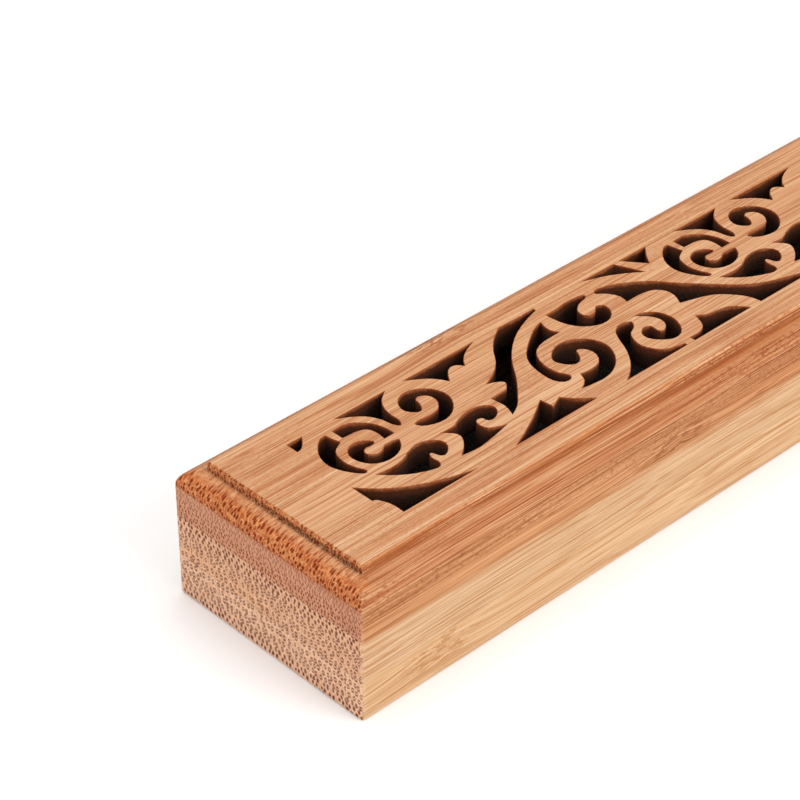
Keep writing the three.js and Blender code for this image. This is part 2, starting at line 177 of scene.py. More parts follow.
class Mixture:
    """The nodes of one finish, or of one effect that several finishes use."""

    def __init__(self, tree):
        self.tree = tree

    def join(self, value, socket):
        """Wires one socket to another, or sets a plain value."""
        if isinstance(value, bpy.types.NodeSocket):
            self.tree.links.new(value, socket)
        else:
            socket.default_value = value

    def maths(self, operation, *values):
        made = self.tree.nodes.new("ShaderNodeMath")
        made.operation = operation
        for value, socket in zip(values, made.inputs):
            self.join(value, socket)
        return made.outputs["Value"]

    def add(self, *values):
        total = values[0]
        for value in values[1:]:
            total = self.maths("ADD", total, value)
        return total

    def times(self, *values):
        total = values[0]
        for value in values[1:]:
            total = self.maths("MULTIPLY", total, value)
        return total

    def less(self, first, second):
        return self.maths("SUBTRACT", first, second)

    def rest(self, share):
        return self.maths("SUBTRACT", 1.0, share)

    def rise(self, value, low, high):
        """From 0 at low to 1 at high, with soft ends."""
        made = self.tree.nodes.new("ShaderNodeMapRange")
        made.interpolation_type = "SMOOTHSTEP"
        self.join(value, made.inputs["Value"])
        self.join(low, made.inputs["From Min"])
        self.join(high, made.inputs["From Max"])
        return made.outputs["Result"]

    def fall(self, value, low, high):
        """From 1 at low to 0 at high, with soft ends."""
        return self.rest(self.rise(value, low, high))

    def capped(self, value, most=1.0):
        return self.maths("MINIMUM", value, most)

    def hump(self, value, middle, reach):
        """A soft bell, 1 at the middle and 0 past about twice the reach."""
        away = self.maths("DIVIDE", self.less(value, middle), reach)
        return self.maths("EXPONENT", self.times(away, away, -1.0))

    def between(self, value, low, high, soft):
        """1 between two levels, with soft shoulders."""
        above = self.rise(value, low - soft, low + soft)
        below = self.fall(value, high - soft, high + soft)
        return self.times(above, below)

    def split(self, vector):
        made = self.tree.nodes.new("ShaderNodeSeparateXYZ")
        self.join(vector, made.inputs["Vector"])
        return made.outputs["X"], made.outputs["Y"], made.outputs["Z"]

    def combine(self, x, y, z):
        made = self.tree.nodes.new("ShaderNodeCombineXYZ")
        for value, socket in zip((x, y, z), made.inputs):
            self.join(value, socket)
        return made.outputs["Vector"]

    def clouds(self, vector, detail=2.0, roughness=0.5):
        """Plain noise, one feature to a unit of the vector, as a value and as a colour."""
        made = self.tree.nodes.new("ShaderNodeTexNoise")
        self.join(vector, made.inputs["Vector"])
        made.inputs["Scale"].default_value = 1.0
        made.inputs["Detail"].default_value = detail
        made.inputs["Roughness"].default_value = roughness
        return made.outputs["Fac"], made.outputs["Color"]

    def clouds_on(self, vector, scales, detail=2.0, roughness=0.5):
        """Plain noise on a vector whose three lengths are scaled first."""
        made = self.tree.nodes.new("ShaderNodeVectorMath")
        made.operation = "MULTIPLY"
        self.join(vector, made.inputs[0])
        made.inputs[1].default_value = scales
        value, _ = self.clouds(made.outputs["Vector"], detail, roughness)
        return value

    def blend(self, share, first, second, how="MIX"):
        """One colour laid over another. The node's colours are its seventh and eighth inputs."""
        made = self.tree.nodes.new("ShaderNodeMix")
        made.data_type = "RGBA"
        made.blend_type = how
        self.join(share, made.inputs[0])
        self.join(first, made.inputs[6])
        self.join(second, made.inputs[7])
        return made.outputs[2]

    def relief(self, height, depth):
        """Surface relief, with its full height in millimetres."""
        made = self.tree.nodes.new("ShaderNodeBump")
        made.inputs["Distance"].default_value = depth * MM
        self.join(height, made.inputs["Height"])
        return made.outputs["Normal"]

    def place(self):
        """The place on the piece in millimetres, and the way its surface faces."""
        where = self.tree.nodes.new("ShaderNodeTexCoord")
        made = self.tree.nodes.new("ShaderNodeVectorMath")
        made.operation = "SCALE"
        self.join(where.outputs["Object"], made.inputs["Vector"])
        made.inputs["Scale"].default_value = 1.0 / MM
        return made.outputs["Vector"], where.outputs["Normal"]

    def use(self, group, **values):
        """Places an effect, with its own values, and returns its outputs."""
        made = self.tree.nodes.new("ShaderNodeGroup")
        made.node_tree = group
        for name, value in values.items():
            self.join(value, made.inputs[name.replace("_", " ")])
        return made.outputs


def new_effect(name, inputs, outputs):
    """A group with named inputs and outputs, for use in several finishes.

    Outputs are values, but for a place, which is a vector.
    """
    tree = bpy.data.node_groups.new(name, "ShaderNodeTree")
    kinds = {"value": "NodeSocketFloat", "vector": "NodeSocketVector"}
    for label, kind in inputs:
        tree.interface.new_socket(label, in_out="INPUT", socket_type=kinds[kind])
    for label in outputs:
        kind = "NodeSocketVector" if label == "Position" else "NodeSocketFloat"
        tree.interface.new_socket(label, in_out="OUTPUT", socket_type=kind)
    given = tree.nodes.new("NodeGroupInput").outputs
    result = tree.nodes.new("NodeGroupOutput").inputs
    return tree, Mixture(tree), given, result


def make_grain():
    """Fibre bundles and fine streaks of a ply that is glued from strips."""
    tree, mix, given, result = new_effect(
        "bamboo_grain",
        [
            ("Position", "vector"),
            ("Seed", "value"),
            ("Across", "value"),
            ("Spacing", "value"),
            ("Spread", "value"),
            ("Foot", "value"),
            ("Height", "value"),
            ("Size", "value"),
            ("Ripe", "value"),
            ("Disorder", "value"),
            ("Strip Width", "value"),
            ("Strip Start", "value"),
        ],
        [
            "Bundles",
            "Halos",
            "Cords",
            "Streaks",
            "Fine",
            "Threads",
            "Specks",
            "Clouds",
            "Strip Tone",
            "Strip Seam",
        ],
    )
    x, y, z = mix.split(given["Position"])
    across = mix.maths("DIVIDE", mix.less(y, given["Strip Start"]), given["Strip Width"])
    strip = mix.maths("FLOOR", across)
    share = mix.maths("FRACT", across)
    shift = mix.add(mix.times(strip, 17.31), given["Seed"])

    # Every strip sways a little along its length, and its fibres among themselves
    sway_at = mix.combine(mix.times(x, 0.013), shift, 0.0)
    sway_y, sway_z, _ = mix.split(mix.clouds(sway_at, 1.0)[1])
    weave_at = mix.combine(
        mix.times(x, 0.034),
        mix.add(mix.times(y, 0.21), shift),
        mix.times(z, 0.21),
    )
    weave_y, weave_z, _ = mix.split(mix.clouds(weave_at, 1.0)[1])
    moved_y = mix.add(
        y,
        mix.times(mix.less(sway_y, 0.5), 1.1),
        mix.times(mix.less(weave_y, 0.5), 0.8),
    )
    moved_z = mix.add(
        z,
        mix.times(mix.less(sway_z, 0.5), 0.9),
        mix.times(mix.less(weave_z, 0.5), 0.8),
    )

    # Bundles stand closer together towards the skin side of the ply, in staggered rows
    level = mix.maths("DIVIDE", mix.less(moved_z, given["Foot"]), given["Height"])
    half_spread = mix.times(given["Spread"], 0.5)
    eased = mix.less(level, mix.times(level, level, half_spread))
    up = mix.times(mix.maths("DIVIDE", given["Height"], given["Spacing"]), eased)
    crowding = mix.rest(mix.times(given["Spread"], level))
    row = mix.maths("DIVIDE", given["Spacing"], crowding)
    cell_y = mix.add(up, mix.times(shift, 0.37))
    columns = mix.maths("DIVIDE", moved_y, given["Across"])
    cell_x = mix.add(columns, shift, mix.times(cell_y, 0.5))
    cells = tree.nodes.new("ShaderNodeTexVoronoi")
    cells.voronoi_dimensions = "2D"
    cells.inputs["Scale"].default_value = 1.0
    mix.join(given["Disorder"], cells.inputs["Randomness"])
    mix.join(mix.combine(cell_x, cell_y, 0.0), cells.inputs["Vector"])
    chance, other, third = mix.split(cells.outputs["Color"])
    centre_x, centre_y, _ = mix.split(cells.outputs["Position"])
    rows_up = mix.less(cell_y, centre_y)
    columns_aside = mix.less(mix.less(cell_x, centre_x), mix.times(rows_up, 0.5))
    to_side = mix.times(columns_aside, given["Across"])
    to_top = mix.times(rows_up, row)

    # A bundle is two dark caps of fibre with pale vessels between, one solid dot when ripe
    unripe = mix.rest(given["Ripe"])
    size = mix.times(given["Size"], mix.add(0.82, mix.times(chance, 0.36)))
    apart = mix.times(size, mix.add(0.3, mix.times(unripe, 0.75)))
    past_cap = mix.less(mix.maths("ABSOLUTE", to_top), apart)
    side_square = mix.times(to_side, to_side)
    cap_reach = mix.maths("SQRT", mix.add(side_square, mix.times(past_cap, past_cap)))
    cap_size = mix.times(size, mix.add(0.82, mix.times(unripe, -0.12)))
    cap = mix.fall(cap_reach, mix.less(cap_size, 0.07), mix.add(cap_size, 0.09))
    squashed = mix.maths("DIVIDE", to_top, 1.5)
    sheath = mix.maths("SQRT", mix.add(side_square, mix.times(squashed, squashed)))
    round_it = mix.maths("DIVIDE", sheath, size)
    wall = mix.times(mix.hump(round_it, 1.0, 0.32), unripe, 0.7)
    mix.join(mix.maths("MAXIMUM", cap, wall), result["Bundles"])
    vessel = mix.times(mix.fall(round_it, 0.4, 0.8), unripe, mix.rise(other, 0.0, 0.4))
    glow = mix.times(mix.hump(round_it, 1.7, 0.4), 0.6)
    mix.join(mix.maths("MAXIMUM", vessel, glow), result["Halos"])

    # Cut lengthwise, the darker bundles show as thin straight lines
    middle = mix.maths("SQRT", mix.add(side_square, mix.times(to_top, to_top)))
    core = mix.times(size, 0.5)
    cord = mix.fall(middle, mix.less(core, 0.05), mix.add(core, 0.05))
    mix.join(mix.times(cord, mix.rise(third, 0.2, 0.45)), result["Cords"])

    # Long streaks: broad ones, fine ones and threads
    streaks = {
        "Streaks": (0.011, 1.15, 2.0, 0.6),
        "Fine": (0.03, 3.6, 2.0, 0.6),
        "Threads": (0.02, 6.5, 1.0, 0.5),
    }
    for label, (along, aside, detail, roughness) in streaks.items():
        streak_at = mix.combine(
            mix.times(x, along),
            mix.add(mix.times(moved_y, aside), shift),
            mix.times(moved_z, aside),
        )
        mix.join(mix.clouds(streak_at, detail, roughness)[0], result[label])

    # Short flecks, and slow clouds of tone
    speck_at = mix.combine(
        mix.times(x, 1.1),
        mix.times(moved_y, 3.4),
        mix.times(moved_z, 3.4),
    )
    specks, _ = mix.clouds(speck_at, 2.0, 0.6)
    mix.join(mix.rise(specks, 0.52, 0.64), result["Specks"])
    cloud_at = mix.combine(
        mix.times(x, 0.022),
        mix.add(mix.times(y, 0.09), shift),
        mix.times(z, 0.16),
    )
    mix.join(mix.clouds(cloud_at, 2.0)[0], result["Clouds"])

    # Every strip has a tone of its own, and a glued joint to the next
    tone = tree.nodes.new("ShaderNodeTexWhiteNoise")
    tone.noise_dimensions = "1D"
    mix.join(shift, tone.inputs["W"])
    mix.join(tone.outputs["Value"], result["Strip Tone"])
    near_joint = mix.maths("MINIMUM", share, mix.rest(share))
    joint_gap = mix.times(near_joint, given["Strip Width"])
    mix.join(mix.fall(joint_gap, 0.02, 0.09), result["Strip Seam"])
    return tree


def make_knuckle():
    """A joint of the culm: the fibres swell round it and kink, with dark marks on it."""
    tree, mix, given, result = new_effect(
        "culm_knuckle",
        [
            ("Position", "vector"),
            ("At X", "value"),
            ("At Y", "value"),
            ("At Z", "value"),
            ("Reach X", "value"),
            ("Reach Y", "value"),
            ("Reach Z", "value"),
            ("Lift Y", "value"),
            ("Lift Z", "value"),
        ],
        ["Position", "Near", "Marks"],
    )
    x, y, z = mix.split(given["Position"])
    ragged = mix.clouds_on(given["Position"], (0.25, 0.8, 0.8))
    wobble = mix.times(mix.less(ragged, 0.5), 1.6)
    moved_x = mix.add(x, wobble)
    level = mix.times(
        mix.hump(y, given["At Y"], given["Reach Y"]),
        mix.hump(z, given["At Z"], given["Reach Z"]),
    )
    near = mix.times(mix.hump(moved_x, given["At X"], given["Reach X"]), level)
    from_middle = mix.maths("DIVIDE", mix.less(moved_x, given["At X"]), 2.6)
    kink = mix.times(from_middle, mix.hump(from_middle, 0.0, 1.0), level, 0.4)
    swell = mix.add(near, kink)
    moved = mix.combine(
        x,
        mix.less(y, mix.times(swell, given["Lift Y"])),
        mix.less(z, mix.times(swell, given["Lift Z"])),
    )
    marks = mix.clouds_on(given["Position"], (0.4, 1.5, 1.5), 3.0, 0.6)
    marked = mix.times(mix.rise(near, 0.25, 0.7), mix.rise(marks, 0.5, 0.58))
    mix.join(moved, result["Position"])
    mix.join(near, result["Near"])
    mix.join(marked, result["Marks"])
    return tree


def make_soot_and_shade():
    """A soot stain, patchy, stronger where its strength is higher. Inside the box it is laid
    dark enough to also be painted shade.
    """
    tree, mix, given, result = new_effect(
        "soot_and_shade_stain",
        [("Position", "vector"), ("Strength", "value")],
        ["Stain"],
    )
    patches = mix.clouds_on(given["Position"], (0.12, 0.2, 0.2), 4.0, 0.6)
    specks = mix.clouds_on(given["Position"], (1.6, 1.6, 1.6), 3.0, 0.7)
    patchy = mix.add(
        mix.times(mix.rise(patches, 0.25, 0.75), 0.3),
        mix.times(specks, 0.25),
        0.5,
    )
    stain = mix.capped(mix.times(patchy, given["Strength"]))
    mix.join(stain, result["Stain"])
    return tree


def make_rubbing():
    """Where hands rub the box: its upright edges and the edges of its ends."""
    tree, mix, given, result = new_effect(
        "rubbed_edges",
        [("Position", "vector"), ("Half Length", "value"), ("Half Width", "value")],
        ["Rubbed"],
    )
    x, y, _ = mix.split(given["Position"])
    to_end = mix.less(given["Half Length"], mix.maths("ABSOLUTE", x))
    to_side = mix.less(given["Half Width"], mix.maths("ABSOLUTE", y))
    worn = mix.clouds_on(given["Position"], (0.7, 0.7, 0.7), 3.0)
    near = mix.fall(mix.add(to_end, to_side), 0.15, 1.1)
    mix.join(mix.times(near, mix.rise(worn, 0.3, 0.65)), result["Rubbed"])
    return tree


grain_effect = make_grain()
knuckle_effect = make_knuckle()
soot_and_shade_effect = make_soot_and_shade()
rubbing_effect = make_rubbing()


def linear(red, green, blue):
    """A colour as the eye reads it, from 0 to 255, made ready for a shader.

    A tint that multiplies lightens where its value is a little over 255.
    """
    parts = []
    for part in (red, green, blue):
        share = part / 255
        low = share / 12.92
        high = ((share + 0.055) / 1.055) ** 2.4
        parts.append(low if share <= 0.04045 else high)
    return (*parts, 1.0)


def new_finish(name, roughness):
    """An empty material with its shader, and a mixture to fill it."""
    finish = bpy.data.materials.new(name)
    finish.use_nodes = True
    mix = Mixture(finish.node_tree)
    shader = finish.node_tree.nodes["Principled BSDF"]
    shader.inputs["Roughness"].default_value = roughness
    return finish, mix, shader


def bamboo(name, wood):
    """Oiled laminated bamboo, cut from the solid so that its grain runs through.

    Each wood names three functions. Its cutting lies under the grain, its warmth
    multiplies the colour, and its soot lies over everything. The top ply's cutting
    holds painted shade at the step, and the soot inside the box is also painted shade.
    """
    finish, mix, shader = new_finish(name, 0.5)
    shader.inputs["Specular IOR Level"].default_value = 0.1
    position, normal = mix.place()
    facing_x, facing_y, facing_z = mix.split(normal)
    sideways = mix.times(mix.maths("ABSOLUTE", facing_y), 0.6)
    endways = mix.less(mix.maths("ABSOLUTE", facing_x), sideways)
    end_grain = mix.rise(endways, 0.28, 0.55)
    sloping = mix.rise(endways, 0.0, 0.35)
    long_grain = mix.rest(end_grain)
    upright = mix.fall(facing_z, 0.8, 0.98)
    _, _, z = mix.split(position)
    ripe = mix.rise(z, *wood["ripe"])
    near_knuckle = 0.0
    knuckle_marks = 0.0
    moved = position
    for at, reach, lift in wood["knuckles"]:
        swelling = mix.use(
            knuckle_effect,
            Position=moved,
            At_X=at[0],
            At_Y=at[1],
            At_Z=at[2],
            Reach_X=reach[0],
            Reach_Y=reach[1],
            Reach_Z=reach[2],
            Lift_Y=lift[0],
            Lift_Z=lift[1],
        )
        moved = swelling["Position"]
        near_knuckle = mix.add(near_knuckle, swelling["Near"])
        knuckle_marks = mix.add(knuckle_marks, swelling["Marks"])
    grain = mix.use(
        grain_effect,
        Position=moved,
        Seed=wood["seed"],
        Across=wood["across"],
        Spacing=wood["spacing"],
        Spread=wood["spread"],
        Foot=wood["foot"],
        Height=wood["height"],
        Size=wood["size"],
        Ripe=ripe,
        Disorder=wood["disorder"],
        Strip_Width=wood["strips"][0],
        Strip_Start=wood["strips"][1],
    )
    body = mix.blend(end_grain, linear(*wood["side"]), linear(*wood["end"]))
    deep = mix.blend(end_grain, linear(*wood["side_deep"]), linear(*wood["end_deep"]))
    fibre = mix.blend(end_grain, linear(*wood["side_fibre"]), linear(*wood["end_fibre"]))
    light = mix.blend(end_grain, linear(*wood["side_light"]), linear(*wood["end_light"]))

    # The tone of each strip and slow clouds, with what the cutter and the press leave, and on
    # the top ply painted shade at its step
    slow = mix.add(mix.times(grain["Strip Tone"], 0.5), mix.times(grain["Clouds"], 0.8), -0.45)
    colour = mix.blend(mix.rise(slow, 0.0, 0.9), body, deep)
    for share, tint in wood["cutting"](mix, position, normal, end_grain):
        colour = mix.blend(share, colour, tint)

    # Broad streaks and hair lines, strongest where the grain is cut lengthwise
    streaks = mix.times(mix.rest(mix.times(end_grain, 0.5)), wood["streaks"])
    dark_streak = mix.times(mix.rise(grain["Streaks"], 0.5, 0.62), streaks)
    colour = mix.blend(mix.times(dark_streak, 0.8), colour, deep)
    deepest = mix.times(mix.rise(grain["Streaks"], 0.6, 0.72), streaks, long_grain, 0.75)
    colour = mix.blend(deepest, colour, fibre)
    pale_streak = mix.times(mix.fall(grain["Streaks"], 0.32, 0.46), streaks)
    colour = mix.blend(pale_streak, colour, light)
    lines = mix.add(
        wood["hair"],
        mix.times(near_knuckle, 0.4),
        mix.times(upright, wood["flank"]),
    )
    lines = mix.capped(lines)
    hair = mix.times(mix.rise(grain["Fine"], 0.56, 0.61), lines)
    colour = mix.blend(mix.times(hair, mix.rest(mix.times(end_grain, 0.6))), colour, fibre)
    pale_hair = mix.times(mix.fall(grain["Fine"], 0.36, 0.42), lines, 0.7)
    colour = mix.blend(pale_hair, colour, light)
    threads = mix.times(lines, long_grain)
    dark_thread = mix.times(mix.rise(grain["Threads"], 0.57, 0.63), threads, 0.6)
    colour = mix.blend(dark_thread, colour, fibre)
    pale_thread = mix.times(mix.fall(grain["Threads"], 0.37, 0.43), threads, 0.75)
    colour = mix.blend(pale_thread, colour, light)

    # Bundles: dots with pale halos on end grain, thin lines on the other faces
    cord_strength = mix.add(wood["cords"], mix.times(upright, wood["flank"]))
    cords = mix.capped(mix.times(grain["Cords"], cord_strength, long_grain))
    colour = mix.blend(cords, colour, linear(*wood["side_line"]))
    colour = mix.blend(mix.times(grain["Halos"], end_grain, wood["halos"]), colour, light)
    full = mix.add(0.95, mix.times(ripe, 0.05))
    dots = mix.times(grain["Bundles"], sloping, full, wood["dots"])
    colour = mix.blend(dots, colour, fibre)
    foot_shade = 0.9
    speckled = mix.times(
        mix.add(0.4, mix.times(upright, 0.6)),
        mix.rise(grain["Clouds"], *wood["speck_clouds"]),
        mix.rise(z, wood["speck_foot"] - foot_shade, wood["speck_foot"] + foot_shade),
    )
    specks = mix.times(grain["Specks"], long_grain, speckled, wood["specks"])
    colour = mix.blend(specks, colour, fibre)
    colour = mix.blend(mix.times(knuckle_marks, long_grain, 0.75), colour, fibre)
    colour = mix.blend(mix.times(grain["Strip Seam"], 0.3), colour, fibre)

    # What hands, time and use leave on top, with soot that is also painted shade inside the box
    rubbed = mix.use(
        rubbing_effect,
        Position=position,
        Half_Length=half_length,
        Half_Width=half_width,
    )["Rubbed"]
    colour = mix.blend(mix.times(rubbed, 0.25), colour, light)
    for share, tint in wood["warmth"](mix, position, normal, end_grain):
        colour = mix.blend(share, colour, tint, "MULTIPLY")
    for share, tint in wood["soot"](mix, position, normal, end_grain):
        colour = mix.blend(share, colour, tint)
    mix.join(colour, shader.inputs["Base Color"])

    # End grain is rougher, rubbed edges are smoother, and bundles lie a little deeper
    rough = mix.add(
        0.46,
        mix.times(grain["Fine"], 0.16),
        mix.times(end_grain, 0.14),
        mix.times(rubbed, -0.1),
    )
    mix.join(rough, shader.inputs["Roughness"])
    height = mix.add(
        mix.times(grain["Bundles"], -0.6),
        mix.times(grain["Fine"], 0.5),
        mix.times(grain["Strip Seam"], -0.8),
    )
    mix.join(mix.relief(height, 0.05), shader.inputs["Normal"])
    return finish


def inside_box(mix, position, half, margin=0.0):
    """1 inside an upright box round the middle and its margin, 0 outside."""
    x, y, _ = mix.split(position)
    blur = 0.05
    reach_x = half[0] + margin
    reach_y = half[1] + margin
    in_x = mix.fall(mix.maths("ABSOLUTE", x), reach_x - blur, reach_x + blur)
    in_y = mix.fall(mix.maths("ABSOLUTE", y), reach_y - blur, reach_y + blur)
    return mix.times(in_x, in_y)


# Each function below takes the same four things, and returns shares with their tints


def base_lower_cutting(mix, position, normal, end_grain):
    """Denser, browner wood at the skin side, and a thin glue line at the top."""
    _, _, z = mix.split(position)
    skin = mix.times(mix.fall(z, 0.2, 3.4), end_grain)
    broken = mix.clouds_on(position, (0.0, 0.4, 0.0))
    squeezed = mix.add(0.2, mix.times(mix.rise(broken, 0.42, 0.58), end_grain, 0.7))
    glue = mix.rise(z, base_glue - 0.2, base_glue - 0.06)
    return [
        (mix.times(skin, 0.4), linear(194, 146, 114)),
        (mix.times(glue, squeezed), linear(128, 78, 50)),
    ]


def base_upper_cutting(mix, position, normal, end_grain):
    """Darker fibres right under the seam, a paler near end and a glue line at the foot."""
    x, y, z = mix.split(position)
    glue = mix.fall(z, base_glue + 0.02, base_glue + 0.2)
    rising = mix.add(seam - 0.6, mix.times(mix.rise(x, -half_length, -55.0), -0.85))
    above = mix.rise(z, mix.less(rising, 0.12), mix.add(rising, 0.12))
    skin = mix.times(mix.rise(z, 13.0, 16.0), end_grain)
    warm = mix.times(mix.rise(y, -3.0, 4.0), mix.fall(z, 10.5, 14.0), end_grain)
    pale = mix.times(mix.fall(x, 5.0 - half_length, -70.0), mix.rest(end_grain))
    return [
        (mix.times(pale, 0.45), linear(204, 173, 142)),
        (mix.times(skin, 0.6), linear(191, 143, 114)),
        (mix.times(warm, 0.4), linear(208, 152, 104)),
        (mix.times(above, mix.rest(end_grain), 0.85), linear(174, 117, 75)),
        (mix.times(glue, 0.45), linear(150, 104, 70)),
    ]


def lid_lower_cutting(mix, position, normal, end_grain):
    """The end grain darkens towards the near side, and its top edge runs askew."""
    _, y, z = mix.split(position)
    pale = mix.times(mix.rise(z, 18.0, 20.5), end_grain)
    near = mix.times(mix.fall(y, -half_width, -9.0), end_grain)
    edge = mix.add(lid_glue - 0.55, mix.times(y, 0.0244))
    over = mix.times(mix.rise(z, mix.less(edge, 0.3), mix.add(edge, 0.25)), end_grain)
    return [
        (mix.times(pale, 0.5), linear(198, 142, 108)),
        (mix.times(near, 0.45), linear(156, 100, 80)),
        (mix.times(over, 0.85), linear(164, 88, 48)),
    ]


def fret_cutting_and_step_shade(mix, position, normal, end_grain):
    """The cutter leaves the step, its arris and the round's foot darker, most on end grain.
    Painted shade lies low on the step, at its foot and along the ledge.
    """
    x, y, z = mix.split(position)
    patches = mix.clouds_on(position, (0.3, 0.3, 0.9), 3.0, 0.6)
    bites = mix.clouds_on(position, (0.9, 2.2, 2.2), 2.0, 0.6)
    ragged = mix.less(bites, 0.5)
    past_end = mix.less(mix.maths("ABSOLUTE", x), step_half_length)
    past_side = mix.less(mix.maths("ABSOLUTE", y), step_half_width)
    raised = mix.rise(z, ledge + 0.02, ledge + 0.1)
    uneven = mix.add(0.5, mix.times(patches, 0.8))

    # The step itself, with painted shade low down on it at the near end
    end_edge = mix.add(past_end, mix.times(ragged, 1.3))
    end_step = mix.times(mix.rise(end_edge, -0.6, -0.3), raised)
    side_edge = mix.add(past_side, mix.times(ragged, 0.6))
    side_step = mix.times(mix.rise(side_edge, -0.35, -0.1), raised)
    nearer = mix.add(0.4, mix.times(mix.fall(y, -4.0, 16.0), 0.6))
    bitten = mix.add(z, mix.times(ragged, 1.5))
    low_step = mix.fall(bitten, ledge + 0.6, ledge + 1.15)
    step_shade = mix.times(end_step, low_step, nearer, mix.add(0.65, patches))

    # Painted shade in the corner between step and round, and a painted shadow band along it on
    # the long sides
    corner = mix.times(
        mix.rise(z, ledge - 0.3, ledge - 0.1),
        mix.fall(z, ledge + 0.15, ledge + 0.6),
    )
    end_foot_shade = mix.times(
        mix.hump(past_end, 0.1, 0.32),
        corner,
        nearer,
        mix.add(0.45, patches),
    )
    side_foot_shade = mix.times(mix.hump(past_side, 0.15, 0.35), corner, mix.add(0.4, patches))
    from_end = mix.rise(x, -95.0, -62.0)
    side_shadow_band = mix.times(
        mix.hump(past_side, 0.45, 0.75),
        mix.rise(z, ledge - 0.6, ledge - 0.25),
        mix.fall(z, ledge + 0.3, ledge + 0.8),
        mix.add(0.05, mix.times(from_end, 0.75)),
    )
    side_share = mix.times(uneven, mix.add(0.65, mix.times(from_end, 0.35)))

    # The foot of the round, and a mottled tone on all of its end grain
    foot = mix.times(
        mix.fall(z, lid_glue + 0.2, lid_glue + 2.0),
        mix.add(0.15, mix.times(end_grain, 0.6)),
        mix.add(0.3, patches),
    )
    mottled = mix.times(end_grain, mix.rise(patches, 0.5, 0.62), 0.6)
    faded = mix.times(end_grain, mix.fall(patches, 0.38, 0.5), 0.6)
    return [
        (mottled, linear(150, 70, 28)),
        (faded, linear(202, 130, 80)),
        (mix.capped(foot), linear(158, 74, 28)),
        (mix.capped(mix.times(end_step, uneven)), linear(166, 92, 48)),
        # painted shade on the lower step at the near end
        (mix.capped(step_shade), linear(64, 34, 17)),
        (mix.capped(mix.times(side_step, side_share), 0.9), linear(172, 100, 42)),
        # painted shade at the step's foot, and a painted shadow along the ledge on the long
        # sides
        (mix.capped(end_foot_shade), linear(78, 42, 20)),
        (mix.capped(side_foot_shade), linear(148, 82, 34)),
        (side_shadow_band, linear(152, 86, 46)),
    ]


def no_warmth(mix, position, normal, end_grain):
    """The ply's colour is even from end to end."""
    return []


def lid_lower_warmth(mix, position, normal, end_grain):
    """The long sides are redder, most away from the near end."""
    x, _, _ = mix.split(position)
    long_grain = mix.rest(end_grain)
    return [
        (long_grain, linear(246, 240, 231)),
        (mix.times(long_grain, mix.rise(x, -50.0, 0.0)), linear(244, 229, 216)),
    ]


def fret_warmth(mix, position, normal, end_grain):
    """The round is redder than the top, most in two streaks on its near side.

    The top's far side is a little redder too, and the shoulders at the ends are paler.
    """
    x, y, z = mix.split(position)
    _, _, facing_z = mix.split(normal)
    flank = mix.times(mix.between(z, lid_glue - 2.0, ledge - 0.25, 0.35), mix.rest(end_grain))
    far_side = mix.times(mix.rise(facing_z, 0.5, 0.9), mix.rise(y, -4.0, 10.0))
    near_end = mix.rise(mix.maths("ABSOLUTE", x), step_half_length, step_half_length + 0.45)
    end_shoulder = mix.times(near_end, mix.between(z, ledge - 0.8, ledge + 0.3, 0.3))
    near_side = mix.fall(y, -half_width, -14.0)
    past_corner = mix.times(mix.rise(x, -88.0, -58.0), mix.rest(end_grain))
    step_streak = mix.times(mix.between(z, ledge - 0.28, ledge + 0.6, 0.15), past_corner)
    round_streak = mix.times(mix.hump(z, ledge - 1.5, 0.22), past_corner)
    return [
        (end_shoulder, linear(266, 254, 245)),
        (flank, linear(233, 218, 204)),
        (mix.times(step_streak, near_side), linear(242, 219, 190)),
        (mix.times(round_streak, near_side), linear(226, 204, 184)),
        (far_side, linear(253, 250, 245)),
    ]


def base_lower_soot_and_shade(mix, position, normal, end_grain):
    """Soot on the trough's floor, dark enough to also serve as painted shade in the closed box.
    """
    _, _, z = mix.split(position)
    trough = inside_box(mix, position, trough_half, past_hollow)
    open_part = mix.times(trough, mix.rise(z, 5.0, 6.0))
    stain = mix.use(soot_and_shade_effect, Position=position, Strength=1.0)["Stain"]
    return [(mix.times(open_part, stain), linear(50, 37, 30))]


def base_upper_soot_and_shade(mix, position, normal, end_grain):
    """Soot on the trough's walls, and on the ledge under the chamber, dark enough to also serve
    as painted shade.
    """
    open_part = inside_box(mix, position, chamber_half)
    stain = mix.use(soot_and_shade_effect, Position=position, Strength=1.15)["Stain"]
    return [(mix.times(open_part, stain), linear(48, 35, 28))]


def lid_lower_soot_and_shade(mix, position, normal, end_grain):
    """Soot on the walls of the chamber, dark enough to also serve as painted shade, and an end
    grain sanded dull towards its top.
    """
    _, _, z = mix.split(position)
    dull = mix.times(mix.rise(z, 18.0, 21.5), end_grain, 0.35)
    chamber = inside_box(mix, position, chamber_half, past_hollow)
    stain = mix.use(soot_and_shade_effect, Position=position, Strength=1.25)["Stain"]
    return [
        (dull, linear(186, 132, 103)),
        (mix.times(chamber, stain), linear(46, 33, 27)),
    ]


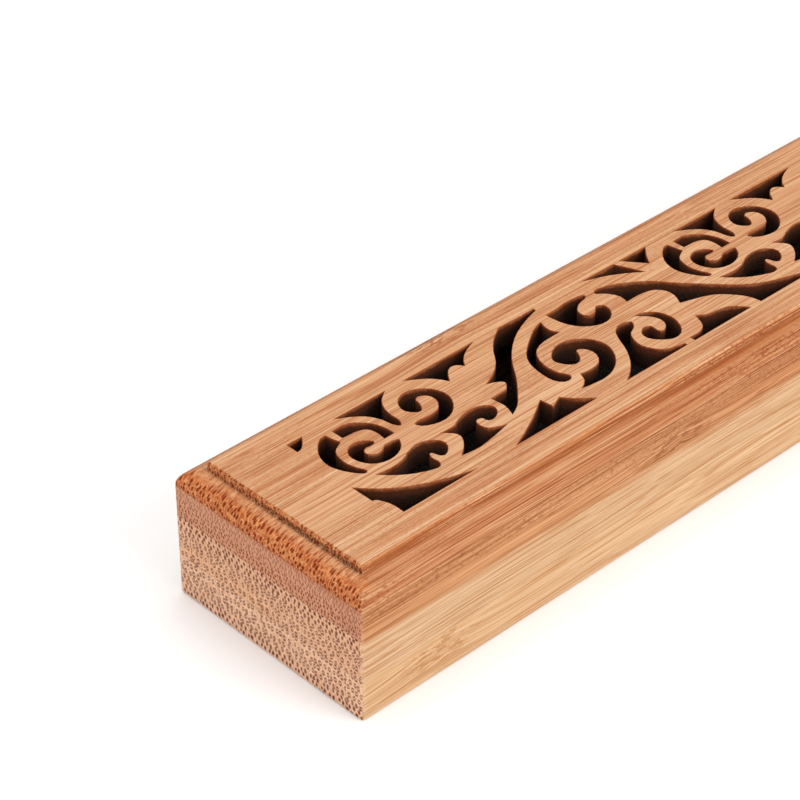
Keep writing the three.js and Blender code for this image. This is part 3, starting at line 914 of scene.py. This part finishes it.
def fret_scorch_soot_and_shade(mix, position, normal, end_grain):
    """Scorch on the pierced walls, deepening down them with painted shade, and soot on the
    underside that is also painted shade.
    """
    _, _, z = mix.split(position)
    _, _, facing_z = mix.split(normal)
    panel = inside_box(mix, position, panel_half, past_panel)
    chamber = inside_box(mix, position, chamber_half, past_hollow)
    steep = mix.fall(facing_z, 0.8, 0.97)
    under = mix.fall(facing_z, -0.8, -0.5)
    broad = mix.clouds_on(position, (0.4, 0.4, 0.2), 2.0, 0.6)
    specks = mix.clouds_on(position, (3.4, 3.4, 2.2), 3.0, 0.7)
    depth = mix.add(
        mix.less(top, z),
        mix.times(mix.less(broad, 0.5), 1.0),
        mix.times(mix.less(specks, 0.5), 0.8),
    )
    wall = mix.times(panel, steep)
    deeper = mix.less(depth, mix.times(mix.rest(end_grain), 0.3))
    rim_share = mix.add(0.75, mix.times(end_grain, 0.25))
    rim = mix.times(wall, mix.rise(depth, -0.4, 0.0), rim_share)
    # Under the scorched rim the walls darken with depth: scorch with painted shade deepening
    # down into the holes
    dark = mix.times(wall, mix.rise(deeper, -0.15, 0.65))
    black = mix.times(wall, mix.rise(deeper, 0.9, 2.4))
    flecks = mix.times(dark, mix.rise(specks, 0.55, 0.68), 0.45)
    stain = mix.use(soot_and_shade_effect, Position=position, Strength=1.3)["Stain"]
    return [
        (rim, linear(148, 70, 30)),
        (dark, linear(80, 42, 25)),
        (black, linear(54, 36, 29)),
        (flecks, linear(112, 74, 54)),
        # soot on the chamber's underside, dark enough to be painted shade too
        (mix.times(chamber, under, stain), linear(44, 32, 26)),
    ]


WOODS = {
    "base_lower_ply": {
        "side": (196, 159, 120),
        "side_deep": (190, 147, 103),
        "side_fibre": (168, 116, 69),
        "side_light": (214, 179, 143),
        "side_line": (162, 104, 56),
        "end": (211, 165, 132),
        "end_deep": (193, 144, 112),
        "end_fibre": (90, 26, 3),
        "end_light": (239, 198, 168),
        "seed": 3.1,
        "across": 1.05,
        "spacing": 1.0,
        "spread": 0.45,
        "foot": 0.0,
        "height": 8.2,
        "ripe": (3.6, 0.4),
        "size": 0.29,
        "disorder": 0.42,
        "strips": (30.8, -18.6),
        "streaks": 0.4,
        "hair": 0.85,
        "cords": 0.85,
        "flank": 0.0,
        "specks": 0.1,
        "speck_clouds": (0.35, 0.6),
        "speck_foot": 0.0,
        "halos": 0.8,
        "dots": 0.92,
        "knuckles": [
            ((-100.0, -22.0, 5.2), (9.0, 9.0, 3.4), (0.0, 1.3)),
            ((38.0, 22.0, 4.0), (9.0, 9.0, 3.0), (0.0, 1.2)),
        ],
        "cutting": base_lower_cutting,
        "warmth": no_warmth,
        "soot": base_lower_soot_and_shade,
    },
    "base_upper_ply": {
        "side": (190, 153, 116),
        "side_deep": (184, 141, 99),
        "side_fibre": (163, 110, 64),
        "side_light": (206, 170, 135),
        "side_line": (162, 105, 58),
        "end": (203, 156, 124),
        "end_deep": (184, 131, 97),
        "end_fibre": (90, 26, 3),
        "end_light": (234, 188, 154),
        "seed": 11.7,
        "across": 1.15,
        "spacing": 1.8,
        "spread": -1.2,
        "foot": 8.2,
        "height": 8.2,
        "ripe": (12.6, 15.6),
        "size": 0.29,
        "disorder": 0.45,
        "strips": (20.5, -1.5),
        "streaks": 0.4,
        "hair": 0.8,
        "cords": 0.85,
        "flank": 0.0,
        "specks": 0.1,
        "speck_clouds": (0.35, 0.6),
        "speck_foot": 0.0,
        "halos": 0.8,
        "dots": 0.88,
        "knuckles": [
            ((70.0, -22.0, 12.0), (9.0, 9.0, 2.8), (0.0, 1.1)),
            ((-52.0, 22.0, 12.5), (9.0, 9.0, 2.8), (0.0, 1.1)),
        ],
        "cutting": base_upper_cutting,
        "warmth": no_warmth,
        "soot": base_upper_soot_and_shade,
    },
    "lid_lower_ply": {
        "side": (187, 134, 92),
        "side_deep": (168, 109, 67),
        "side_fibre": (138, 80, 42),
        "side_light": (215, 164, 124),
        "side_line": (126, 70, 36),
        "end": (177, 119, 87),
        "end_deep": (162, 103, 74),
        "end_fibre": (106, 44, 22),
        "end_light": (214, 161, 128),
        "seed": 23.9,
        "across": 0.74,
        "spacing": 0.8,
        "spread": -0.5,
        "foot": 16.4,
        "height": 6.1,
        "ripe": (26.0, 18.0),
        "size": 0.2,
        "disorder": 0.6,
        "strips": (22.0, 1.0),
        "streaks": 0.6,
        "hair": 0.52,
        "cords": 0.5,
        "flank": 0.15,
        "specks": 0.68,
        "speck_clouds": (0.2, 0.42),
        "speck_foot": 19.2,
        "halos": 0.8,
        "dots": 0.84,
        "knuckles": [
            ((-45.0, -22.0, 18.3), (11.0, 9.0, 2.8), (0.0, 1.3)),
            ((66.0, 22.0, 19.0), (10.0, 9.0, 2.6), (0.0, 1.2)),
        ],
        "cutting": lid_lower_cutting,
        "warmth": lid_lower_warmth,
        "soot": lid_lower_soot_and_shade,
    },
    "lid_fret_ply": {
        "side": (197, 148, 108),
        "side_deep": (182, 120, 77),
        "side_fibre": (148, 79, 42),
        "side_light": (213, 172, 134),
        "side_line": (150, 82, 44),
        "end": (174, 94, 47),
        "end_deep": (154, 71, 30),
        "end_fibre": (104, 30, 2),
        "end_light": (220, 156, 106),
        "seed": 37.3,
        "across": 0.95,
        "spacing": 0.95,
        "spread": 0.1,
        "foot": 22.5,
        "height": 4.75,
        "ripe": (28.5, 24.0),
        "size": 0.23,
        "disorder": 0.85,
        "strips": (19.0, 4.0),
        "streaks": 0.8,
        "hair": 0.55,
        "cords": 0.55,
        "flank": 0.4,
        "specks": 0.8,
        "speck_clouds": (0.35, 0.6),
        "speck_foot": 20.0,
        "halos": 0.6,
        "dots": 0.9,
        "knuckles": [
            ((-61.0, 19.2, 26.4), (10.0, 3.8, 3.0), (0.9, 0.0)),
            ((44.0, -19.0, 26.0), (9.0, 2.6, 3.0), (0.9, 0.0)),
        ],
        "cutting": fret_cutting_and_step_shade,
        "warmth": fret_warmth,
        "soot": fret_scorch_soot_and_shade,
    },
}


def brass(name, soot_and_shade_strength):
    """Rolled brass that has dulled, with fine scratches and a film of soot, which when heavy
    also serves as painted shade inside the box.
    """
    finish, mix, shader = new_finish(name, 0.3)
    shader.inputs["Metallic"].default_value = 1.0
    position, _ = mix.place()
    scratches = mix.clouds_on(position, (0.5, 9.0, 9.0), 3.0, 0.6)
    patches = mix.clouds_on(position, (0.35, 0.35, 0.35), 4.0, 0.6)
    stain = mix.use(soot_and_shade_effect, Position=position, Strength=soot_and_shade_strength)["Stain"]
    bright = linear(214, 170, 94)
    dull = linear(182, 134, 66)
    colour = mix.blend(mix.rise(patches, 0.35, 0.7), bright, dull)
    # The soot film, heaviest on the clip, darkens it partly as painted shade
    colour = mix.blend(mix.times(stain, 0.75), colour, linear(74, 50, 27))
    mix.join(colour, shader.inputs["Base Color"])
    rough = mix.add(0.24, mix.times(scratches, 0.2), mix.times(stain, 0.3))
    mix.join(rough, shader.inputs["Roughness"])
    mix.join(mix.relief(scratches, 0.01), shader.inputs["Normal"])
    return finish


def nickel():
    """Nickel plate on the magnets, bright with a few hairline scratches."""
    finish, mix, shader = new_finish("magnet_nickel_plate", 0.2)
    shader.inputs["Metallic"].default_value = 1.0
    position, _ = mix.place()
    scratches = mix.clouds_on(position, (5.0, 0.35, 5.0), 3.0, 0.7)
    patches = mix.clouds_on(position, (0.9, 0.9, 0.9), 3.0, 0.6)
    bright = linear(186, 183, 177)
    dull = linear(172, 168, 161)
    colour = mix.blend(mix.rise(patches, 0.3, 0.8), bright, dull)
    mix.join(colour, shader.inputs["Base Color"])
    mix.join(mix.add(0.2, mix.times(scratches, 0.16)), shader.inputs["Roughness"])
    mix.join(mix.relief(scratches, 0.0006), shader.inputs["Normal"])
    return finish


def felt():
    """Pressed heat-proof felt: short crossing fibres, charcoal grey, darker with soot that is
    also painted shade.
    """
    finish, mix, shader = new_finish("pad_felt", 0.95)
    shader.inputs["Specular IOR Level"].default_value = 0.12
    shader.inputs["Sheen Weight"].default_value = 0.08
    shader.inputs["Sheen Roughness"].default_value = 0.6
    position, _ = mix.place()
    x, y, z = mix.split(position)
    lay = mix.clouds_on(position, (0.7, 0.7, 0.7))
    bend = mix.times(mix.less(lay, 0.5), 3.0)
    one_way_at = mix.combine(mix.times(mix.add(x, bend), 6.5), mix.times(y, 1.4), z)
    one_way, _ = mix.clouds(one_way_at, 3.0, 0.7)
    other_way_at = mix.combine(mix.times(x, 1.4), mix.times(mix.add(y, bend), 6.5), z)
    other_way, _ = mix.clouds(other_way_at, 3.0, 0.7)
    fibres = mix.maths("MAXIMUM", one_way, other_way)
    colour = mix.blend(mix.rise(fibres, 0.45, 0.75), linear(46, 42, 39), linear(84, 77, 71))
    stain = mix.use(soot_and_shade_effect, Position=position, Strength=0.8)["Stain"]
    # soot darkening, partly painted shade inside the box
    colour = mix.blend(mix.times(stain, 0.5), colour, linear(36, 30, 27))
    mix.join(colour, shader.inputs["Base Color"])
    mix.join(mix.relief(fibres, 0.25), shader.inputs["Normal"])
    return finish


# Making of the pieces

WELD = 1e-6
FLAT_ANGLE = math.radians(0.5)
SHARP_ANGLE = math.radians(30)


def finish_piece(piece, body, node, finish):
    """Gives a piece its finish and its body, and hides the CAD node it stands for."""
    piece.data.materials.clear()
    piece.data.materials.append(finish)
    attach(piece, body)
    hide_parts(node)


def dress(node, name, edge=0.0):
    """A welded copy of a CAD piece, its hard edges softened by the edge's width."""
    form = bmesh.new()
    form.from_mesh(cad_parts[node].data)
    bmesh.ops.remove_doubles(form, verts=form.verts, dist=WELD)
    bmesh.ops.dissolve_limit(
        form,
        angle_limit=FLAT_ANGLE,
        verts=form.verts,
        edges=form.edges,
    )
    for face in form.faces:
        face.smooth = True
    for side in form.edges:
        side.smooth = side.calc_face_angle(0.0) < SHARP_ANGLE
    piece = stand_in_scene(name, form)
    if edge > 0:
        soften = piece.modifiers.new("soft_edges", "BEVEL")
        soften.width = edge * MM
        soften.segments = 2
        soften.limit_method = "ANGLE"
        soften.angle_limit = SHARP_ANGLE
        soften.use_clamp_overlap = False
        soften.harden_normals = True
    return piece


def slice_pad(form, slices, way):
    """Cuts the slab into equal slices along one way, so that its top can be uneven."""
    nearest = 1e-5
    for number in range(1, slices):
        cut = pad_low.dot(way) + pad_size.dot(way) * number / slices
        bmesh.ops.bisect_plane(
            form,
            geom=form.verts[:] + form.edges[:] + form.faces[:],
            dist=nearest,
            plane_co=way * cut,
            plane_no=way,
        )


def lay_pad():
    """The felt pad: a thin slab with soft edges and a slightly uneven top."""
    corner_radius = 3.4
    edge_drop = 0.55
    edge_reach = 0.9
    bump_height = 0.10
    tuft_height = 0.04
    form = bmesh.new()
    bmesh.ops.create_cube(form, size=1.0)
    bmesh.ops.scale(form, verts=form.verts, vec=pad_size)
    bmesh.ops.translate(form, verts=form.verts, vec=(pad_low + pad_high) / 2)
    upright = [
        edge
        for edge in form.edges
        if abs(edge.verts[0].co.z - edge.verts[1].co.z) > pad_size.z / 2
    ]
    bmesh.ops.bevel(
        form,
        geom=upright,
        offset=corner_radius,
        offset_type="OFFSET",
        affect="EDGES",
        segments=8,
        profile=0.5,
        material=-1,
    )
    slice_pad(form, 150, Vector((1, 0, 0)))
    slice_pad(form, 20, Vector((0, 1, 0)))
    for vertex in form.verts:
        at = vertex.co
        if at.z < pad_high.z - 0.01:
            continue
        to_side = min(pad_high.y - abs(at.y), at.x - pad_low.x, pad_high.x - at.x)
        fall = edge_drop * math.exp(-max(to_side, 0.0) / edge_reach)
        bumps = noise.noise(Vector((at.x * 0.16, at.y * 0.22, 3.0)))
        tufts = noise.noise(Vector((at.x * 0.8, at.y * 0.8, 9.0)))
        at.z -= fall + bump_height * (1 + bumps) + tuft_height * (1 + tufts)
    bmesh.ops.scale(form, verts=form.verts, vec=(MM, MM, MM))
    bmesh.ops.recalc_face_normals(form, faces=form.faces)
    for face in form.faces:
        face.smooth = True
    pad = stand_in_scene("heat_pad_felt", form)
    finish_piece(pad, "base", "heat_pad", felt())


def build_box():
    """All pieces of the base and the lid."""
    plies = {
        "base_lower_ply": ("base", "base_bamboo"),
        "base_upper_ply": ("base", "base_bamboo"),
        "lid_lower_ply": ("lid", "lid_bamboo"),
        "lid_fret_ply": ("lid", "fret_bamboo"),
    }
    fret_edge = 0.16
    ply_edge = 0.06
    for node, (body, slot_name) in plies.items():
        edge = fret_edge if node == "lid_fret_ply" else ply_edge
        piece = dress(node, node + "_wood", edge)
        wood = bamboo(node + "_bamboo", WOODS[node])
        finish_piece(piece, body, node, wood)
    lay_pad()
    # The clip's soot is at full strength, partly as painted shade inside the closed box
    clip = dress("stick_clip", "stick_clip_brass", 0.07)
    finish_piece(clip, "base", "stick_clip", brass("clip_brass_sheet", 1.0))
    screw_brass = brass("screw_brass_bar", 0.6)
    for number in (1, 2):
        node = f"clip_screw_{number}"
        screw = dress(node, node + "_brass")
        finish_piece(screw, "base", node, screw_brass)
    plate = nickel()
    for body in ("base", "lid"):
        for number in (1, 2, 3, 4):
            node = f"{body}_magnet_{number}"
            magnet = dress(node, node + "_disc")
            finish_piece(magnet, body, node, plate)


stand_camera()
light_studio()
lay_floor()
build_box()
